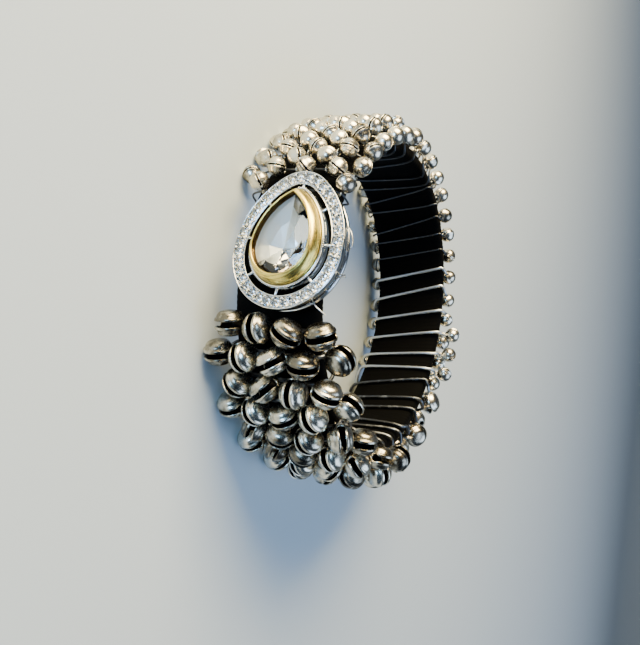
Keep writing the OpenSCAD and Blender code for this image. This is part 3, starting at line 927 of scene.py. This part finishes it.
class BANGLE_OT_halo(Operator):
    """Builds the medallion's white metal: plate, rims, gallery, spokes, collar and beads"""
    bl_idname = "bangle.halo"
    bl_label = "White metal halo"

    def execute(self, context):
        s = context.scene.bangle_medallion
        metal = silver_material("rhodium_plate", s.white, "A9ADB3", 0.08, 600.0, 0.62)
        own, inner = medallion_matrix(s, s.halo_turn), medallion_matrix(s, s.pear_turn)
        plate = [(-0.08, -1.1), (0, -1.02), (0, 0.02), (-0.03, 0.12), (-0.1, 0.17),
                 (-0.19, 0.13), (-0.24, 0.02), (-0.3, -0.72), (-2.2, -0.72), (-2.26, 0.02),
                 (-2.31, 0.13), (-2.4, 0.17), (-2.47, 0.12), (-2.5, 0.02), (-2.5, -1.02),
                 (-2.42, -1.1)]
        rail = [(-0.42, -3.2), (-0.35, -3.12), (-0.35, -2.68), (-0.42, -2.6), (-1.18, -2.6),
                (-1.25, -2.68), (-1.25, -3.12), (-1.18, -3.2)]
        collar = [(1.2, -1.2), (1.15, -1.1), (1.15, 0.5), (1.2, 0.58), (1.34, 0.6),
                  (1.44, 0.52), (1.5, 0.3), (1.68, -0.3), (1.7, -1.1), (1.65, -1.2)]
        parts = [drop_loft("plate", HALO, plate, own, metal),
                 drop_loft("rail", HALO, rail, own, metal),
                 drop_loft("collar", PEAR, collar, inner, metal)]
        tree = hang_tree()
        # Columns: name, base, outline, offset in mm, count, first step, height in mm, place, tip
        for label, base, shape, offset, count, shift, height, place, tip in (
                ("posts", self.rod(0.3, 1.55, 12), HALO, -0.8, 18, 0.5, -1.85, own, 0),
                ("spokes", self.rod(0.26, 2.2, 12), HALO, -3.35, 8, 0.0, -0.35, own, 90),
                ("outer_prongs", self.prong(), HALO, -0.5, s.stones, 0.0, -0.2, own, 0),
                ("inner_prongs", self.prong(), HALO, -2.0, s.stones, 0.0, -0.2, own, 0),
                ("milgrain", self.bead(), PEAR, 1.5, 130, 0.0, 0.42, inner, 0)):
            spots = [place @ Matrix.Translation((x, y, height * MM)) @ Matrix.Rotation(a, 4, "Z")
                     @ turned(tip, "Y") for x, y, a in even_stops(shape, offset * MM, count, shift)]
            parts.append(hang(label, base, spots, tree, 6, metal))
        return finish_piece(join_pieces(parts, "halo_metal"), "white_metal", "halo_frame")

    def rod(self, radius, long, sides, end=((1, 0.2), (0.85, 0))):
        """A short rod along Z, in mm. Its upper end is (radius, depth) in shares of the radius."""
        radius, half = radius * MM, long * MM / 2
        profile = [(0.0, -half), (radius * 0.85, -half), (radius, -half + radius * 0.2)]
        profile += [(radius * share, half - radius * depth) for share, depth in end]
        rings = [[polar(r, a, z) for a in circle(sides)] for r, z in profile + [(0.0, half)]]
        return make_piece("rod", *loft(rings))

    def prong(self):
        """A thin rod with a domed end."""
        return self.rod(0.23, 1.05, 8, ((1, 1), (0.87, 0.5), (0.5, 0.13)))

    def bead(self):
        """A tiny ball of few faces."""
        radius = 0.14 * MM
        rings = [[polar(radius * sin(t), a, radius * cos(t)) for a in circle(8)]
                 for t in (pi * i / 6 for i in range(7))]
        return make_piece("bead", *loft(rings))


class BANGLE_OT_stones(Operator):
    """Sets the small round stones in the halo"""
    bl_idname = "bangle.stones"
    bl_label = "Halo stones"

    def execute(self, context):
        s = context.scene.bangle_medallion
        glass = stone_material("cubic_zirconia", s.glass, 1.9)
        place = medallion_matrix(s, s.halo_turn)
        spins = drawn(0, 90, 2 * s.stones, 31)
        spots = []
        for k, (x, y, _) in enumerate(even_stops(HALO, -1.25 * MM, s.stones)):
            # Hand-set stones tip by up to three degrees.
            tip = spins[s.stones + k] / 15 - 3
            spots.append(place @ Matrix.Translation((x, y, 0)) @ turned(spins[k], "Z")
                         @ turned(tip, "X"))
        obj = hang("halo_small_stones", self.brilliant(s.stone), spots, hang_tree(), 2, glass)
        return finish_piece(obj, "clear_small_stones", "halo_stones")

    def brilliant(self, d):
        """A round cut stone: table, star, kite and girdle facets, and a pointed pavilion."""
        # Columns as shares of the diameter: radius, height; and the turn by half a facet
        rows = ((0.34, 0.15, 0), (0.42, 0.1, 0.5), (0.49, 0.03, 0), (0.49, 0.03, 0.5),
                (0.49, -0.02, 0), (0.49, -0.02, 0.5))
        points = [polar(share * d, a, height * d)
                  for share, height, shift in rows for a in circle(8, shift)]
        points.append((0, 0, -0.42 * d))
        faces = [tuple(range(8))]
        for j in range(8):
            m = (j + 1) % 8
            faces += [(j, 8 + j, m), (j, 8 + (j - 1) % 8, 16 + j, 8 + j),
                      (8 + j, 16 + j, 24 + j), (8 + j, 24 + j, 16 + m),
                      (16 + j, 32 + j, 40 + j, 24 + j), (24 + j, 40 + j, 32 + m, 16 + m),
                      (32 + j, 48, 40 + j), (40 + j, 48, 32 + m)]
        return make_piece("round_stone", points, faces, smooth=False)


class BANGLE_OT_bezel(Operator):
    """Raises the gold bezel round the pear stone"""
    bl_idname = "bangle.bezel"
    bl_label = "Gold bezel"

    def execute(self, context):
        s = context.scene.bangle_medallion
        top = s.lip / MM
        outside = [(-0.26, 0.03), (-0.16, 0), (-0.04, 0.01), (0.02, 0.07), (0.04, 0.17),
                   (0.08, 0.25), (0.16, 0.27), (0.34, 0.42), (0.58, 0.75), (0.82, 1.2)]
        wall = [(-0.3, top - 0.1)] + [(w, top - depth) for w, depth in outside]
        wall += [(0.98, 1.15), (1.04, 0.8), (1.05, 0.22), (1.0, 0.16), (-0.15, 0.16),
                 (-0.88, 0.92), (-0.55, top - 1.3), (-0.5, top - 0.8), (-0.36, top - 0.25)]
        # Rows 0 and 16 to 19 line the inner wall under the lip, which gets painted shade.
        obj = drop_loft("gold_drop_bezel", PEAR, wall, medallion_matrix(s, s.pear_turn),
                        gold_material(s), hollow=(0, 16, 17, 18, 19))
        return finish_piece(obj, "gold", "gold_bezel")


class BANGLE_OT_pear(Operator):
    """Cuts the pear stone and lays the foil behind it"""
    bl_idname = "bangle.pear"
    bl_label = "Pear stone"

    def execute(self, context):
        s = context.scene.bangle_medallion
        place = medallion_matrix(s, s.pear_turn)
        top = s.lip / MM

        def ring(w, depth, counts):
            return [(x, y, (top - depth) * MM) for x, y, _ in drop_outline(PEAR, w * MM, counts)]

        table = ring(-2.0, 0.34, (2, 3, 8))
        girdle, under = (ring(-0.65, depth, (4, 6, 16)) for depth in (0.86, 1.0))
        culet = (0.4 * MM, 0, (top - 3.15) * MM)
        ribs = [(culet[0] + (p[0] - culet[0]) * 0.52, p[1] * 0.52, (top - 2.3) * MM)
                for p in under[::4]]
        n, m = len(table), len(girdle)
        faces = [tuple(range(n))]
        for j in range(n):
            a, b = j, (j + 1) % n
            g = [n + (2 * j + i) % m for i in range(3)]
            faces += [(a, g[0], g[1]), (a, g[1], b), (b, g[1], g[2])]
        faces += [(n + j, n + m + j, n + m + (j + 1) % m, n + (j + 1) % m) for j in range(m)]
        faces += self.pavilion(n + m, m)
        points = [place @ Vector(p) for p in table + girdle + under + ribs + [culet]]
        stone = make_piece("pear_cut_stone", points, faces,
                           stone_material("crystal_glass", s.glass, 1.62), smooth=False)
        finish_piece(stone, "clear_pear_stone", "pear_stone")

        # The foil lies 0.08 mm behind the pavilion's rim, and a little more at its point.
        gap = 0.08 * MM
        rows = ((under, 1), (ribs, 1.4), ([culet], 1.6))
        front = [(x, y, z - share * gap) for part, share in rows for x, y, z in part]
        back = len(front)
        faces = self.pavilion(0, m)
        faces += [tuple(back + i for i in f[::-1]) for f in faces]
        faces += [(j, (j + 1) % m, back + (j + 1) % m, back + j) for j in range(m)]
        points = [place @ Vector(p) for p in front + [(x, y, z - gap) for x, y, z in front]]
        foil = make_piece("silver_foil_cup", points, faces, foil_material(), smooth=False)
        return finish_piece(foil, "white_metal")

    def pavilion(self, start, m):
        """Facets between m points from start, m / 4 ribs after them, and the culet after those."""
        faces, ribs, count = [], start + m, m // 4
        for j in range(count):
            u = [start + (4 * j + i) % m for i in range(5)]
            a, b = ribs + j, ribs + (j + 1) % count
            faces += [(a, u[0], u[1]), (a, u[1], u[2]), (a, u[2], b), (b, u[2], u[3]),
                      (b, u[3], u[4]), (ribs + count, a, b)]
        return faces


class BANGLE_OT_stage(Operator):
    """Lays the pale floor, and sets the studio lights and the camera"""
    bl_idname = "bangle.stage"
    bl_label = "Floor, lights and camera"

    def execute(self, context):
        scene = context.scene
        s = scene.bangle_stage
        self.camera(scene)
        # The board lies flat and bends up to a backdrop 1.2 m behind the bangle.
        half, behind, bend, high = 12.0, 1.2, 0.6, 3.0
        profile = [(-half, 0.0)] + [
            (behind + bend * sin(a), bend - bend * cos(a))
            for a in (pi / 24 * i for i in range(13))] + [(behind + bend, high)]
        points = [(x, y, z) for y, z in profile for x in (-half, half)]
        faces = [(2 * i, 2 * i + 1, 2 * i + 3, 2 * i + 2) for i in range(len(profile) - 1)]
        floor = make_piece("floor", points, faces, board_material(s))
        # Warm light from the left, a little cool light in front, and a dim bluish room.
        self.softbox("warm_softbox", (-0.36, -0.24, 0.22), 0.34, s.key, "FFE6B0")
        self.softbox("cool_softbox", (0.04, -0.42, 0.06), 0.12, s.fill, "9CD0FF")
        self.softbox("top_softbox", (0.3, 0.15, 0.85), 0.8, s.top, "C4DCFA")
        world = bpy.data.worlds.new("studio_room")
        world.use_nodes = True
        background = world.node_tree.nodes["Background"].inputs
        background["Color"].default_value = rgb("7C9CC4")
        background["Strength"].default_value = 0.13
        scene.world = world
        return {"FINISHED"}

    def camera(self, scene):
        """The photograph's viewpoint: 15 degrees round, 26 degrees above the floor, on its side."""
        azimuth, elevation = radians(15.24), radians(25.78)
        distance_mm = 159.44
        # The last turn of the fit: its length is degrees about its direction.
        trim = Vector((2.06, -0.13, -4.19))
        back = Vector((sin(azimuth) * cos(elevation),
                       -cos(azimuth) * cos(elevation), sin(elevation)))
        right = (Vector((0, 0, 1)) - back * back.z).normalized()
        aim = Matrix((right, back.cross(right), back))
        aim = Matrix.Rotation(radians(trim.length), 3, trim.normalized()) @ aim
        spot = back * distance_mm * MM + MIDDLE
        data = bpy.data.cameras.new("camera")
        data.sensor_width = 36.0
        data.lens = 39.22
        data.shift_x, data.shift_y = -0.0539, -0.0017
        data.clip_start = 5 * MM
        camera = new_object("camera", data)
        camera.matrix_world = Matrix.Translation(spot) @ aim.transposed().to_4x4()
        scene.camera = camera

    def softbox(self, name, place, size, power, colour):
        """A square area light that faces the bangle's middle."""
        data = bpy.data.lights.new(name, "AREA")
        data.size = size
        data.energy = power
        data.color = rgb(colour)[:3]
        light = new_object(name, data)
        light.location = place
        ray = MIDDLE - Vector(place)
        light.rotation_euler = ray.to_track_quat("-Z", "Y").to_euler()


class BANGLE_PT_pieces(Panel):
    """Lists the bangle's pieces in the sidebar"""
    bl_idname = "BANGLE_PT_pieces"
    bl_label = "Bell bangle"
    bl_space_type = "VIEW_3D"
    bl_region_type = "UI"
    bl_category = "Bangle"

    def draw(self, context):
        for operator in OPERATORS:
            self.layout.operator(operator.bl_idname)
        for name in SETTINGS:
            group = getattr(context.scene, name)
            box = self.layout.box()
            for key in group.__annotations__:
                box.prop(group, key)


SETTINGS = {"bangle_band": BandSettings, "bangle_wire": WireSettings,
            "bangle_bells": BellSettings, "bangle_medallion": MedallionSettings,
            "bangle_stage": StageSettings}
OPERATORS = (BANGLE_OT_band, BANGLE_OT_wire, BANGLE_OT_ties, BANGLE_OT_bells, BANGLE_OT_halo,
             BANGLE_OT_stones, BANGLE_OT_bezel, BANGLE_OT_pear, BANGLE_OT_stage)
CLASSES = tuple(SETTINGS.values()) + OPERATORS + (BANGLE_PT_pieces,)


def register():
    for cls in CLASSES:
        bpy.utils.register_class(cls)
    for name, group in SETTINGS.items():
        setattr(bpy.types.Scene, name, PointerProperty(type=group))


def unregister():
    for name in SETTINGS:
        delattr(bpy.types.Scene, name)
    for cls in reversed(CLASSES):
        bpy.utils.unregister_class(cls)


def main():
    register()
    for operator in OPERATORS:
        group, name = operator.bl_idname.split(".")
        getattr(getattr(bpy.ops, group), name)()


if __name__ == "__main__":
    main()
